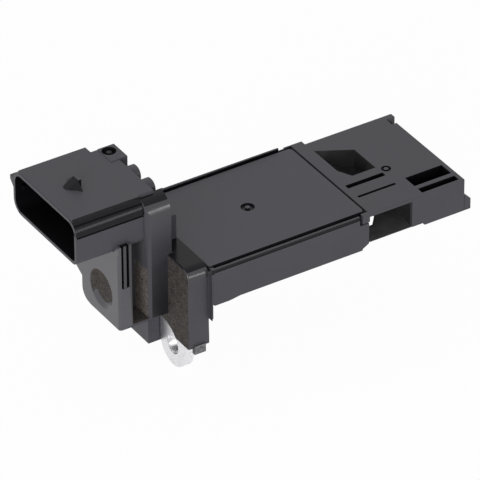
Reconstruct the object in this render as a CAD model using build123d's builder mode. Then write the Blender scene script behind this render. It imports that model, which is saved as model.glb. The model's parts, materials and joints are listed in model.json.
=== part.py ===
"""Plug-in mass airflow sensor, in millimetres.

+X runs from the connector to the tip, the way the sensor goes into the duct.
+Z leaves the flat circuit cover, and +Y leaves the back of the case.
The origin is the centre of the flat case's section, in the plane where the flange seats.
"""
import os
from math import sqrt

from build123d import *

os.makedirs("parts", exist_ok=True)

# Flat case that stands in the duct
case_front = -16.2
case_back = 15.5
case_height = 9.3
case_wall = 2.4
case_floor = 1.6
heel_length = 1.6
heel_height = 1.3
heel_lip = 0.4
rim_drop = 0.3
end_margin = 0.5

# Circuit cover and its seat
cover_thickness = 1.2
cover_front = -15.0
cover_back = 14.7
cover_start = 0.15
cover_length = 39.55
cover_gap = 0.45
cover_corner = 1.2
cover_edge = 0.15
cavity_margin = 0.6
seam = 0.38
bead_width = 0.9
bead_depth = 0.6
bead_inset = 0.7
gate_x = 19.3
gate_radius = 1.55
gate_depth = 0.5
nub_radius = 0.55

# Flange
flange_thickness = 5.1
flange_front = -15.0
flange_back = 15.0
flange_top = 4.95
flange_high_top = 11.0
flange_bottom = -15.45
flange_foot = -23.55
foot_start = 1.95
foot_end = 10.5
flange_corner = 2.6
flange_low_corner = 0.8
flange_edge = 0.35
shoulder = 0.8
shoulder_proud = 0.2
shoulder_top = 4.0
shoulder_bottom = -8.65
shoulder_corner = 1.6
key_tab_length = 2.9
key_tab_height = 2.2
key_tab_depth = 1.0

# Screw ears, stamped from steel and moulded into the flange
ear_thickness = 2.2
ear_radius = 5.15
screw_hole_radius = 2.23
head_clearance = 8.8
ear_places = {"lower": (-3.45, -21.6), "upper": (19.5, 2.9)}
ear_tails = {"lower": (14.5, 5.15), "upper": (14.0, 1.9)}
anchor_radius = 1.3

# Connector shell
mouth_x = -26.7
shell_end = -9.8
shell_front = -5.15
shell_back = 21.2
shell_bottom = 8.8
shell_top = 19.5
shell_wall = 0.85
shell_big_corner = 3.2
shell_small_corner = 1.7
pad_height = 0.4
pad_front = -3.4
pad_back = 19.1
pad_end = -6.1
pad_root_front = -2.9
pad_setback = 0.15
socket_depth = 14.6
channel_low = 15.7
channel_high = 16.2
channel_depth = 0.3
key_low = 14.6
key_nose = 1.1
key_reach = 1.3
key_slope = 1.4
key_root = 0.6
rail_height = 1.2
rail_width = 1.0
rail_setback = 1.5
rail_offset = 3.0

# Latch ramp on the connector
ramp_start = -21.8
ramp_length = 2.8
ramp_y = 7.6
ramp_nose_width = 1.65
ramp_base_width = 6.3
ramp_crest_width = 2.0
ramp_height = 1.75
ramp_land = 0.8
ramp_tip_height = 0.1
ramp_draft = 0.05

# Post, root and boss between the connector and the flange
post_front = -6.6
post_back = -2.1
post_top = 19.05
post_bottom = -10.2
post_end = -3.4
post_round = 3.8
post_chamfer = 0.65
root_back = 16.8
root_low_back = 10.6
web_end = -4.6
web_top = 17.0
boss_face = -17.15
boss_plate_end = -13.7
boss_front = -6.4
boss_back = 9.3
boss_top = 10.8
boss_top_depth = 1.9
boss_bottom = -10.65
boss_corner = 3.0
boss_floor = 0.65
boss_neck_front = -0.7
boss_edge = 0.7
shoulder_lug_back = 12.3
shoulder_lug_bottom = -3.4
shoulder_lug_slope = 1.7
dimple_y = 1.1
dimple_z = -3.9
dimple_radius = 4.6
dimple_floor_radius = 3.5
dimple_depth = 0.8
groove_places = (0.7, 2.05)
groove_width = 0.5
groove_bottom = 0.0
groove_depth = 0.9
lobe_end = -4.1
lobe_width = 3.9
lobe_corner = 1.7
lobe_top = 19.7
lobe_places = (1.4, 7.4)
gate_block_length = 4.2
gate_block_end = -4.0
gate_block_front = 11.1
gate_block_top = 20.05
sprue_place = (-6.42, 14.89)
sprue_radius = 1.6
sprue_depth = 1.0
sprue_nub_radius = 0.6
sprue_nub_height = 0.7

# Tip with the air passage
tip_front = -16.5
tip_back = 14.1
tip_length = 24.6
step_length = 2.9
tip_bottom = -3.55
tip_floor = 0.9
plate = 0.95
foot_rib_length = 1.7
foot_rib_height = 2.7
inlet_length = 10.9
inlet_lip = 0.15
inlet_lip_reach = 2.0
wall = 1.2
jamb_step = 0.6
jamb_length = 3.3
front_wall = 0.9
hook_length = 1.8
hook_height = 2.2
hook_clearance = 0.25
guide_middle = (10.5, -8.6)
guide_end = (7.4, -4.0)
outlet_offset = 1.6
outlet_length = 6.2
drain_points = ((3.1, -5.5), (6.7, -5.5), (6.7, -8.0), (4.0, -11.2), (3.1, -11.2))
chamber_ribs = (14.8, 19.8)
chamber_rib_width = 0.9
chamber_rib_gap = 0.5
tab_reach = 1.0
tab_width = 1.5
tab_bottom = 2.5
notch_width = 2.2

# Slots, pockets and funnel in the passage cover
slot_offset = 1.3
slot_length = 9.7
slot_places = ((-5.15, 1.3), (-9.65, 0.7))
pocket_offset = 14.0
pocket_length = 9.5
pocket_depth = 6.2
pocket_spans = ((-12.7, -9.0), (-15.7, -14.0))
pocket_skin = 0.9
funnel_points = ((3.1, 10.7), (10.8, 6.4), (10.8, -2.0), (4.8, -2.0), (3.1, 1.4))
funnel_depth = 4.6
funnel_turn = 7.5
funnel_skin = 0.8
funnel_port = (2.6, 3.2)
eject_place = (12.54, -3.64)
eject_radius = 1.1
eject_nub_radius = 0.55
eject_depth = 0.3

# Terminals
terminal_count = 5
terminal_pitch = 3.9
terminal_width = 2.2
terminal_thickness = 0.64
terminal_reach = 8.6
terminal_anchor = 1.2
blade_point = 0.5
shank_width = 1.2
drop_x = -7.8
jog_z = 9.4
finger_pitch = 3.0
finger_y = 3.2
finger_z = -0.6
finger_end = 6.4

# Circuit
base_start = 8.2
base_length = 22.0
base_thickness = 1.0
base_side_gap = 0.6
board_margin = 1.2
board_thickness = 0.7
signal_chip_size = (7.0, 7.0, 1.0)
signal_chip_place = (8.0, -5.5)
driver_chip_size = (4.2, 5.0, 1.1)
driver_chip_place = (7.0, 5.5)
chip_edge = 0.2
capacitor_size = (1.6, 0.8, 0.8)
capacitor_count = 6
capacitor_pitch = 3.0
capacitor_offset = 2.6
resistor_size = (1.0, 0.55, 0.4)
resistor_rows = 4
resistor_pitch = (1.6, 1.3)
resistor_offset = 6.4
resistor_y = 5.5
wire_radius = 0.15
wire_rise = 0.7
wire_inset = 0.6

# Sensing element
tongue_length = 12.2
tongue_width = 4.6
tongue_thickness = 1.4
tongue_y = -6.4
tongue_z = 0.0
tongue_root = 3.2
tongue_corner = 0.8
sensor_chip_size = (3.0, 2.4, 0.4)
sensor_lead_count = 3
sensor_lead_pitch = 1.2
sensor_lead_width = 0.6
sensor_lead_thickness = 0.25
sensor_lead_landing = 0.5
sensor_lead_end = 0.8
sensor_chip_offset = 3.4
thermistor_y = -9.9
thermistor_z = 1.4
thermistor_offset = 3.8
thermistor_radius = 0.85
thermistor_pitch = 1.0
thermistor_lead_radius = 0.22
thermistor_landing = 1.2

case_top = case_height / 2
case_bottom = -case_height / 2
cover_end = cover_start + cover_length
case_end = cover_end + end_margin
rim_top = case_top - rim_drop
cover_seat = case_top - cover_thickness
cavity_start = case_wall
cavity_end = case_end - case_wall - cavity_margin
cavity_front = cover_front + case_wall
cavity_back = cover_back - case_wall
cavity_floor = case_bottom + case_floor
shelf_top = finger_z - terminal_thickness / 2
shelf_end = finger_end + case_wall / 6
socket_front = shell_front + shell_wall
socket_back = shell_back - shell_wall
socket_low = shell_bottom + shell_wall
socket_high = shell_top - shell_wall
socket_floor = mouth_x + socket_depth
socket_mid_y = (socket_front + socket_back) / 2
socket_mid_z = (socket_low + socket_high) / 2
pad_top = shell_top + pad_height
tip_end = case_end + tip_length
tip_step = case_end + step_length
inlet_end = case_end + inlet_length
jamb_end = inlet_end + jamb_length
outlet_start = case_end + outlet_offset
outlet_end = outlet_start + outlet_length
slot_start = case_end + slot_offset
slot_end = slot_start + slot_length
pocket_start = case_end + pocket_offset
pocket_end = pocket_start + pocket_length
sensor_chip_x = case_end + sensor_chip_offset
thermistor_x = case_end + thermistor_offset
passage_start = cover_end + seam
passage_top = case_top - plate
passage_floor = tip_bottom + tip_floor
tongue_start = cavity_end - tongue_root
tongue_front = tongue_y - tongue_width / 2
tongue_back = tongue_y + tongue_width / 2
tongue_top = tongue_z + tongue_thickness / 2
tongue_bottom = tongue_z - tongue_thickness / 2
base_top = cavity_floor + base_thickness
board_top = base_top + board_thickness
board_start = base_start + board_margin
board_end = base_start + base_length - board_margin
board_front = cavity_front + base_side_gap + board_margin
board_back = cavity_back - base_side_gap - board_margin
hook_start = passage_start - hook_length
hook_back = cover_front - cover_gap
front_wall_back = tip_front + front_wall
corner_start = pocket_start - pocket_skin
corner_back = pocket_spans[0][1] + pocket_skin


def block(x_span, y_span, z_span, mode=Mode.ADD):
    """Adds or cuts a rectangular block given by its limits along X, Y and Z."""
    middle = [(low + high) / 2 for low, high in (x_span, y_span, z_span)]
    with Locations(tuple(middle)):
        Box(x_span[1] - x_span[0], y_span[1] - y_span[0], z_span[1] - z_span[0], mode=mode)


def save(piece, name):
    """Labels a finished piece and writes it to its own file."""
    piece.label = name
    export_step(piece, f"parts/{name}.step")


# Connector terminals: a blade in the socket, a drop in the root, a finger in the case
terminals = []
for number in range(terminal_count):
    steps = number - (terminal_count - 1) / 2
    blade_y = socket_mid_y + steps * terminal_pitch
    finger_row_y = finger_y + steps * finger_pitch
    with BuildPart() as terminal:
        blade_start = socket_floor - terminal_reach
        blade_end = socket_floor + terminal_anchor
        with BuildSketch(Plane.XY.offset(socket_mid_z - terminal_thickness / 2)) as blade:
            with Locations(((blade_start + blade_end) / 2, blade_y)):
                Rectangle(blade_end - blade_start, terminal_width)
            chamfer(blade.vertices().group_by(Axis.X)[0], blade_point)
            with Locations(((blade_end + drop_x) / 2, blade_y)):
                Rectangle(drop_x - blade_end + terminal_thickness, shank_width)
        extrude(amount=terminal_thickness)
        with BuildSketch(Plane.YZ.offset(drop_x - terminal_thickness / 2)):
            with BuildLine():
                Polyline((blade_y, socket_mid_z), (finger_row_y, jog_z), (finger_row_y, finger_z))
            trace(line_width=shank_width)
        extrude(amount=terminal_thickness)
        with BuildSketch(Plane.XY.offset(finger_z - terminal_thickness / 2)):
            with Locations(((drop_x + finger_end) / 2, finger_row_y)):
                Rectangle(finger_end - drop_x + terminal_thickness, shank_width)
        extrude(amount=terminal_thickness)
    terminals.append(terminal.part)
    save(terminal.part, f"terminal_{number + 1}")

# Screw ears: each has a round end with the hole, and a tail that the moulding grips
ears = []
for place, (ear_y, ear_z) in ear_places.items():
    tail_length, tail_side = ear_tails[place]
    tail_direction = (0, 0, 1) if place == "lower" else (0, -1, 0)
    ear_plane = Plane((-ear_thickness, ear_y, ear_z), x_dir=tail_direction, z_dir=(1, 0, 0))
    with BuildPart() as ear:
        with BuildSketch(ear_plane):
            Circle(ear_radius)
            with Locations((tail_length / 2, (tail_side - ear_radius) / 2)):
                Rectangle(tail_length, ear_radius + tail_side)
            with Locations((tail_length - 2 * anchor_radius, (tail_side - ear_radius) / 2)):
                Circle(anchor_radius, mode=Mode.SUBTRACT)
            Circle(screw_hole_radius, mode=Mode.SUBTRACT)
        extrude(amount=ear_thickness)
    ears.append(ear.part)
    save(ear.part, f"screw_ear_{place}")

# Post: the upright moulding beside the connector's root
with BuildPart() as post:
    with BuildSketch(Plane.XY.offset(post_bottom)) as post_plan:
        with Locations(((shell_end + post_end) / 2, (post_front + post_back) / 2)):
            Rectangle(post_end - shell_end, post_back - post_front)
        outer_corner = post_plan.vertices().sort_by_distance((shell_end, post_front, post_bottom))[0]
        chamfer(outer_corner, post_chamfer)
    extrude(amount=post_top - post_bottom)
    top_edges = post.edges().group_by(Axis.Z)[-1].filter_by(Axis.X)
    fillet(top_edges.sort_by(Axis.Y)[0], post_round)

# Boss below the connector, with its side grooves and the round dimple in its face
with BuildPart() as boss:
    with BuildSketch(Plane.YZ.offset(boss_face)) as boss_section:
        with Locations(((boss_front + boss_back) / 2, (boss_bottom + shell_bottom) / 2)):
            Rectangle(boss_back - boss_front, shell_bottom - boss_bottom)
        low_corners = boss_section.vertices().group_by(Axis.Y)[0]
        fillet(low_corners.sort_by(Axis.X)[-1], boss_corner)
    extrude(amount=boss_plate_end - boss_face)
    face_edges = boss.edges().filter_by(Plane.YZ).group_by(Axis.X)[0]
    fillet(face_edges.sort_by(Axis.Y)[0], boss_edge)
    with BuildSketch(Plane.YZ.offset(boss_face)):
        with BuildLine():
            Polyline(
                (boss_back, shell_bottom),
                (boss_back, shoulder_lug_bottom - shoulder_lug_slope),
                (shoulder_lug_back, shoulder_lug_bottom),
                (shoulder_lug_back, shell_bottom),
                close=True,
            )
        make_face()
    extrude(amount=boss_plate_end - boss_face)
    block((boss_face, boss_plate_end), (boss_front, boss_front + boss_top_depth), (shell_bottom, boss_top))
    block((boss_plate_end, shell_end), (boss_neck_front, boss_back), (boss_bottom, shell_bottom))
    block((boss_plate_end, shell_end), (boss_front, boss_back), (boss_bottom, boss_bottom + boss_floor))
    for groove in groove_places:
        groove_x = boss_face + groove
        block(
            (groove_x, groove_x + groove_width),
            (boss_front, boss_front + groove_depth),
            (groove_bottom, boss_top),
            mode=Mode.SUBTRACT,
        )
    with BuildSketch(Plane.YZ.offset(boss_face)):
        with Locations((dimple_y, dimple_z)):
            Circle(dimple_radius)
    with BuildSketch(Plane.YZ.offset(boss_face + dimple_depth)):
        with Locations((dimple_y, dimple_z)):
            Circle(dimple_floor_radius)
    loft(mode=Mode.SUBTRACT)

# Funnel: a scoop that deepens along X, cut as a many-sided prism that meets a wide cylinder
funnel_outline = [(case_end + x, y) for x, y in funnel_points]
shallow_x, shallow_y = funnel_outline[0]
deep_x, deep_y = funnel_outline[2]
scoop_direction = Vector(1, 0, 0).rotate(Axis.Z, -funnel_turn)
scoop_length = (Vector(deep_x, deep_y, 0) - Vector(shallow_x, shallow_y, 0)).dot(scoop_direction)
scoop_rise = (scoop_length ** 2 - funnel_depth ** 2) / (2 * funnel_depth)
scoop_radius = scoop_rise + funnel_depth
scoop_plane = Plane(
    (deep_x, deep_y, case_top + scoop_rise),
    x_dir=scoop_direction,
    z_dir=scoop_direction.rotate(Axis.Z, 90),
)
with BuildPart() as funnel:
    with BuildSketch(Plane.XY.offset(case_top)):
        with BuildLine():
            Polyline(*funnel_outline, close=True)
        make_face()
    extrude(amount=-2 * funnel_depth)
    with BuildSketch(scoop_plane):
        Circle(scoop_radius)
    extrude(amount=scoop_radius, both=True, mode=Mode.INTERSECT)

lower_y, lower_z = ear_places["lower"]
upper_y, upper_z = ear_places["upper"]
cut_y = lower_y - sqrt(head_clearance ** 2 - (flange_bottom - lower_z) ** 2)
cut_z = lower_z + sqrt(head_clearance ** 2 - (foot_start - lower_y) ** 2)
bite = sqrt(head_clearance ** 2 - (upper_y - flange_back) ** 2)

# Housing: one moulding with the connector shell, flange, case and lower half of the passage
with BuildPart() as housing:
    # Flange plate, bitten away round the two screw heads
    with BuildSketch(Plane.YZ.offset(-flange_thickness)) as flange:
        with BuildLine():
            Polyline((flange_front, flange_bottom), (cut_y, flange_bottom))
            ThreePointArc(
                (cut_y, flange_bottom),
                (lower_y, lower_z + head_clearance),
                (foot_start, cut_z),
            )
            Polyline(
                (foot_start, cut_z),
                (foot_start, flange_foot),
                (foot_end, flange_foot),
                (flange_back, flange_foot + flange_back - foot_end),
                (flange_back, upper_z - bite),
            )
            ThreePointArc(
                (flange_back, upper_z - bite),
                (upper_y - head_clearance, upper_z),
                (flange_back, upper_z + bite),
            )
            Polyline(
                (flange_back, upper_z + bite),
                (flange_back, flange_high_top),
                (post_back, flange_high_top),
                (post_back, flange_top),
                (flange_front, flange_top),
                (flange_front, flange_bottom),
            )
        make_face()
        fillet(flange.vertices().group_by(Axis.X)[0].sort_by(Axis.Y)[-1], flange_corner)
        fillet(flange.vertices().group_by(Axis.X)[0].sort_by(Axis.Y)[0], flange_low_corner)
    extrude(amount=flange_thickness)
    outer_edges = housing.edges().filter_by(Plane.YZ).group_by(Axis.X)[0]
    fillet([edge for edge in outer_edges if edge.center().Y < cut_y], flange_edge)
    with Locations((-flange_thickness / 2, flange_front, flange_bottom)):
        Box(key_tab_length, key_tab_depth, key_tab_height)

    # Case, with its heel at the far end of the underside
    with BuildSketch(Plane.XZ.offset(-case_back)) as case_side:
        with BuildLine():
            Polyline(
                (0, case_bottom),
                (case_end - heel_length, case_bottom),
                (case_end - heel_length, case_bottom + heel_lip),
                (case_end, case_bottom + heel_height),
                (case_end, case_top),
                (0, case_top),
                close=True,
            )
        make_face()
    extrude(amount=case_back - case_front)
    with BuildSketch(Plane.YZ) as shoulder_face:
        with Locations(((case_front + case_back) / 2, (shoulder_bottom + shoulder_top) / 2)):
            Rectangle(case_back - case_front + 2 * shoulder_proud, shoulder_top - shoulder_bottom)
        fillet(shoulder_face.vertices().group_by(Axis.Y)[-1], shoulder_corner)
    extrude(amount=shoulder)

    # Root between the connector and the flange, with the pad on top and the gate block
    with BuildSketch(Plane.YZ.offset(shell_end)):
        with BuildLine():
            Polyline(
                (post_back, post_bottom),
                (root_low_back, post_bottom),
                (root_low_back, shell_bottom),
                (root_back, shell_bottom),
                (root_back, shell_top),
                (post_back, shell_top),
                close=True,
            )
        make_face()
    extrude(amount=pad_end - shell_end)
    with BuildSketch(Plane.YZ.offset(pad_end)):
        with BuildLine():
            Polyline(
                (post_back, post_bottom),
                (root_low_back, post_bottom),
                (root_low_back, shell_bottom),
                (root_back, shell_bottom),
                (root_back, web_top),
                (post_back, web_top),
                close=True,
            )
        make_face()
    extrude(amount=web_end - pad_end)
    with BuildSketch(Plane.YZ.offset(pad_end)) as lobe_faces:
        for lobe_y in lobe_places:
            with Locations((lobe_y, (shell_bottom + lobe_top) / 2)):
                Rectangle(lobe_width, lobe_top - shell_bottom)
        fillet(lobe_faces.vertices().group_by(Axis.Y)[-1], lobe_corner)
    extrude(amount=lobe_end - pad_end)
    block(
        (gate_block_end - gate_block_length, gate_block_end),
        (gate_block_front, root_back),
        (shell_bottom, gate_block_top),
    )
    add(post.part)
    add(boss.part)

    # Connector shell with its rounded mouth
    with BuildSketch(Plane.YZ.offset(mouth_x)) as mouth:
        with Locations((socket_mid_y, socket_mid_z)):
            Rectangle(shell_back - shell_front, shell_top - shell_bottom)
        corners = mouth.vertices().sort_by_distance((shell_front, shell_bottom))
        fillet(corners[1:], shell_big_corner)
        fillet(mouth.vertices().sort_by_distance((shell_front, shell_bottom))[0], shell_small_corner)
    extrude(amount=shell_end - mouth_x)
    block((mouth_x + pad_setback, shell_end), (pad_front, pad_back), (shell_top - shell_wall / 2, pad_top))
    block((shell_end, pad_end), (pad_root_front, root_back), (shell_top - shell_wall, pad_top))
    with BuildSketch(Plane.YZ.offset(mouth_x)):
        with BuildLine():
            Polyline(
                (shell_back - key_root, key_low),
                (shell_back, key_low),
                (shell_back + key_reach, key_low + key_slope),
                (shell_back + key_reach, key_low + key_slope + key_nose),
                (shell_back - key_root, key_low + key_slope + key_nose),
                close=True,
            )
        make_face()
    extrude(amount=shell_end - mouth_x)
    with BuildSketch(Plane.XY.offset(gate_block_top)):
        with Locations(sprue_place):
            Circle(sprue_radius)
    extrude(amount=-sprue_depth, mode=Mode.SUBTRACT)
    with BuildSketch(Plane.XY.offset(gate_block_top - sprue_depth)):
        with Locations(sprue_place):
            Circle(sprue_nub_radius)
    extrude(amount=sprue_nub_height)

    # Socket, its two rails, the shallow channel in the front side, and the latch ramp
    with BuildSketch(Plane.YZ.offset(mouth_x)):
        add(mouth.sketch_local)
        offset(amount=-shell_wall, mode=Mode.REPLACE)
    extrude(amount=socket_depth, mode=Mode.SUBTRACT)
    rail_y = socket_back - rail_height
    rail_span = (mouth_x + rail_setback, socket_floor)
    block(rail_span, (rail_y, socket_back), (socket_mid_z, socket_mid_z + rail_width))
    top_rail_y = rail_y - rail_offset
    block(rail_span, (top_rail_y, top_rail_y + rail_width), (socket_high - rail_height, socket_high))
    block(
        (mouth_x + pad_setback, shell_end),
        (shell_front, shell_front + channel_depth),
        (channel_low, channel_high),
        mode=Mode.SUBTRACT,
    )
    ramp_end = ramp_start + ramp_length
    for ramp_x, low_width, high_width, rise in (
        (ramp_start, ramp_nose_width, ramp_nose_width - ramp_draft, ramp_tip_height),
        (ramp_end, ramp_base_width, ramp_crest_width, ramp_height),
    ):
        with BuildSketch(Plane.YZ.offset(ramp_x)):
            with BuildLine():
                Polyline(
                    (ramp_y - low_width / 2, pad_top),
                    (ramp_y + low_width / 2, pad_top),
                    (ramp_y + high_width / 2, pad_top + rise),
                    (ramp_y - high_width / 2, pad_top + rise),
                    close=True,
                )
            make_face()
    loft()
    block(
        (ramp_end, ramp_end + ramp_land),
        (ramp_y - ramp_crest_width / 2, ramp_y + ramp_crest_width / 2),
        (pad_top, pad_top + ramp_height),
    )

    # Lower half of the air passage: floor, back wall, end wall, guide wall and ribs
    with BuildSketch(Plane.XY.offset(tip_bottom)):
        with BuildLine():
            Polyline(
                (case_end, tip_front),
                (tip_end, tip_front),
                (tip_end, tip_back),
                (tip_step, tip_back),
                (tip_step, case_back),
                (case_end, case_back),
                close=True,
            )
        make_face()
    extrude(amount=passage_top - tip_bottom)
    block(
        (case_end, tip_end - wall),
        (tip_front, tip_back - wall),
        (passage_floor, passage_top),
        mode=Mode.SUBTRACT,
    )
    with BuildSketch(Plane.XY.offset(passage_floor)):
        with BuildLine():
            ThreePointArc(
                (inlet_end + wall / 2, front_wall_back),
                (case_end + guide_middle[0], guide_middle[1]),
                (case_end + guide_end[0], guide_end[1]),
            )
        trace(line_width=wall)
    extrude(amount=passage_top - passage_floor)
    for rib_offset in chamber_ribs:
        rib_x = case_end + rib_offset
        block(
            (rib_x, rib_x + chamber_rib_width),
            (corner_back + chamber_rib_gap, tip_back - wall),
            (passage_floor, passage_top),
        )
    with BuildSketch(Plane.XZ.offset(-tip_back)):
        with BuildLine():
            Polyline(
                (tip_end, tip_bottom),
                (tip_end + foot_rib_length, tip_bottom),
                (tip_end + foot_rib_length, tip_bottom + foot_rib_height),
                (tip_end, tip_bottom + foot_rib_height + foot_rib_length),
                close=True,
            )
        make_face()
    extrude(amount=tip_back - tip_front)
    block(
        (outlet_start, outlet_end),
        (tip_back - wall, case_back),
        (passage_floor, passage_top),
        mode=Mode.SUBTRACT,
    )
    with BuildSketch(Plane.XY.offset(tip_bottom)):
        with BuildLine():
            Polyline(*[(case_end + x, y) for x, y in drain_points], close=True)
        make_face()
    extrude(amount=tip_floor, mode=Mode.SUBTRACT)
    with BuildSketch(Plane.YZ.offset(case_end)):
        with BuildLine():
            Polyline(
                (tip_front, tip_bottom),
                (tip_front, passage_floor - inlet_lip),
                (tip_front + inlet_lip_reach, tip_bottom),
                close=True,
            )
        make_face()
    extrude(amount=jamb_end - case_end, mode=Mode.SUBTRACT)

    # Room for the passage cover: its corner box, front wall, plate edge and hook
    block(
        (corner_start, tip_end),
        (tip_front, corner_back),
        (passage_floor, passage_top),
        mode=Mode.SUBTRACT,
    )
    block(
        (inlet_end, tip_end),
        (tip_front, front_wall_back),
        (tip_bottom + jamb_step, passage_top),
        mode=Mode.SUBTRACT,
    )
    block(
        (jamb_end, tip_end),
        (tip_front, front_wall_back),
        (tip_bottom, passage_top),
        mode=Mode.SUBTRACT,
    )
    block(
        (passage_start, case_end),
        (tip_front, case_back),
        (passage_top, case_top),
        mode=Mode.SUBTRACT,
    )
    block(
        (hook_start - hook_clearance, case_end),
        (tip_front, hook_back),
        (case_top - hook_height - hook_clearance, case_top),
        mode=Mode.SUBTRACT,
    )

    # Circuit case: cavity, terminal shelf, cover seat and the groove for the adhesive
    block(
        (cavity_start, cavity_end),
        (cavity_front, cavity_back),
        (cavity_floor, case_top),
        mode=Mode.SUBTRACT,
    )
    block((cavity_start, shelf_end), (cavity_front, cavity_back), (cavity_floor, shelf_top))
    block(
        (0, passage_start),
        (cover_front - cover_gap, cover_back + cover_gap),
        (cover_seat, case_top),
        mode=Mode.SUBTRACT,
    )
    rims = ((case_front, cover_front - cover_gap), (cover_back + cover_gap, case_back))
    for rim in rims:
        block((shoulder, hook_start), rim, (rim_top, case_top), mode=Mode.SUBTRACT)
    with BuildSketch(Plane.XY.offset(cover_seat)) as bead_plan:
        with Locations(((cavity_start + cavity_end) / 2, (cavity_front + cavity_back) / 2)):
            bead_reach = 2 * (bead_inset + bead_width)
            RectangleRounded(
                cavity_end - cavity_start + bead_reach,
                cavity_back - cavity_front + bead_reach,
                bead_inset + bead_width,
            )
            RectangleRounded(
                cavity_end - cavity_start + 2 * bead_inset,
                cavity_back - cavity_front + 2 * bead_inset,
                bead_inset,
                mode=Mode.SUBTRACT,
            )
    extrude(amount=-bead_depth, mode=Mode.SUBTRACT)
    block(
        (cavity_end, case_end),
        (tongue_front, tongue_back),
        (tongue_bottom, cover_seat),
        mode=Mode.SUBTRACT,
    )
    for insert in terminals + ears:
        add(insert, mode=Mode.SUBTRACT)
    for side in (-1, 1):
        with BuildSketch(Plane.YZ.offset(cavity_end)):
            with Locations((thermistor_y + side * thermistor_pitch / 2, thermistor_z)):
                Circle(thermistor_lead_radius)
        extrude(amount=case_end - cavity_end, mode=Mode.SUBTRACT)
save(housing.part, "housing")

# Circuit cover: a flat lid with a round gate mark and its nub
with BuildPart() as circuit_cover:
    with BuildSketch(Plane.XY.offset(cover_seat)):
        with Locations(((cover_start + cover_end) / 2, (cover_front + cover_back) / 2)):
            RectangleRounded(cover_length, cover_back - cover_front, cover_corner)
    extrude(amount=cover_thickness)
    chamfer(circuit_cover.edges().group_by(Axis.Z)[-1], cover_edge)
    with BuildSketch(Plane.XY.offset(case_top)):
        with Locations((gate_x, 0)):
            Circle(gate_radius)
            Circle(nub_radius, mode=Mode.SUBTRACT)
    extrude(amount=-gate_depth, mode=Mode.SUBTRACT)
save(circuit_cover.part, "circuit_cover")

# Cover adhesive: the bead that fills the groove under the cover
with BuildPart() as cover_adhesive:
    add(bead_plan.sketch)
    extrude(amount=-bead_depth)
save(cover_adhesive.part, "cover_adhesive")

# Bowl: the skin that the passage cover's plate makes under the funnel
with BuildPart() as bowl:
    with BuildSketch(Plane.XY.offset(passage_top)):
        with BuildLine():
            Polyline(*funnel_outline, close=True)
        make_face()
        offset(amount=funnel_skin, kind=Kind.INTERSECTION, mode=Mode.REPLACE)
    extrude(amount=-2 * funnel_depth)
    with BuildSketch(scoop_plane):
        Circle(scoop_radius + funnel_skin)
    extrude(amount=scoop_radius, both=True, mode=Mode.INTERSECT)

# Passage cover: plate, front wall, corner box, hook and funnel in one moulding
with BuildPart() as passage_cover:
    with BuildSketch(Plane.XY.offset(passage_top)):
        with BuildLine():
            Polyline(
                (passage_start, tip_front),
                (tip_end, tip_front),
                (tip_end, tip_back),
                (tip_step, tip_back),
                (tip_step, case_back),
                (passage_start, case_back),
                close=True,
            )
        make_face()
    extrude(amount=plate)
    block((inlet_end, tip_end), (tip_front, front_wall_back), (tip_bottom + jamb_step, passage_top))
    block((jamb_end, tip_end), (tip_front, front_wall_back), (tip_bottom, passage_top))
    block((corner_start, tip_end), (front_wall_back, corner_back), (passage_floor, passage_top))
    block((hook_start, case_end), (tip_front, hook_back), (case_top - hook_height, case_top))
    add(bowl.part)
    add(funnel.part, mode=Mode.SUBTRACT)
    block(
        (deep_x - funnel_port[0], deep_x),
        (deep_y, deep_y + funnel_port[1]),
        (case_top - funnel_depth - 2 * funnel_skin, case_top - funnel_depth / 2),
        mode=Mode.SUBTRACT,
    )
    for slot_y, slot_width in slot_places:
        block(
            (slot_start, slot_end),
            (slot_y - slot_width / 2, slot_y + slot_width / 2),
            (passage_top, case_top),
            mode=Mode.SUBTRACT,
        )
    for pocket_span in pocket_spans:
        block(
            (pocket_start, pocket_end),
            pocket_span,
            (case_top - pocket_depth, case_top),
            mode=Mode.SUBTRACT,
        )
    with BuildSketch(Plane.XY.offset(case_top)):
        with Locations((case_end + eject_place[0], eject_place[1])):
            Circle(eject_radius)
            Circle(eject_nub_radius, mode=Mode.SUBTRACT)
    extrude(amount=-eject_depth, mode=Mode.SUBTRACT)

    # Tab that hooks over the end wall at the back corner, with a notch beside it
    tab_front = tip_back - tab_width
    block((tip_end, tip_end + tab_reach), (tab_front, tip_back), (tab_bottom, case_top))
    block(
        (tip_end - wall, tip_end),
        (tab_front - notch_width, tab_front),
        (passage_top, case_top),
        mode=Mode.SUBTRACT,
    )
save(passage_cover.part, "passage_cover")

# Circuit: aluminium base plate, ceramic board and what is mounted on it
with BuildPart() as base_plate:
    block(
        (base_start, base_start + base_length),
        (cavity_front + base_side_gap, cavity_back - base_side_gap),
        (cavity_floor, base_top),
    )
save(base_plate.part, "base_plate")

with BuildPart() as circuit_board:
    block((board_start, board_end), (board_front, board_back), (base_top, board_top))
save(circuit_board.part, "circuit_board")

for chip_name, chip_size, chip_place in (
    ("signal_chip", signal_chip_size, signal_chip_place),
    ("driver_chip", driver_chip_size, driver_chip_place),
):
    with BuildPart() as chip:
        with BuildSketch(Plane.XY.offset(board_top)):
            with Locations((board_start + chip_place[0], chip_place[1])):
                Rectangle(chip_size[0], chip_size[1])
        extrude(amount=chip_size[2])
        chamfer(chip.edges().group_by(Axis.Z)[-1], chip_edge)
    save(chip.part, chip_name)

with BuildPart() as chip_capacitors:
    with BuildSketch(Plane.XY.offset(board_top)):
        with Locations((board_end - capacitor_offset, 0)):
            with GridLocations(capacitor_size[0], capacitor_pitch, 1, capacitor_count):
                Rectangle(capacitor_size[0], capacitor_size[1])
    extrude(amount=capacitor_size[2])
save(chip_capacitors.part, "chip_capacitors")

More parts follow.
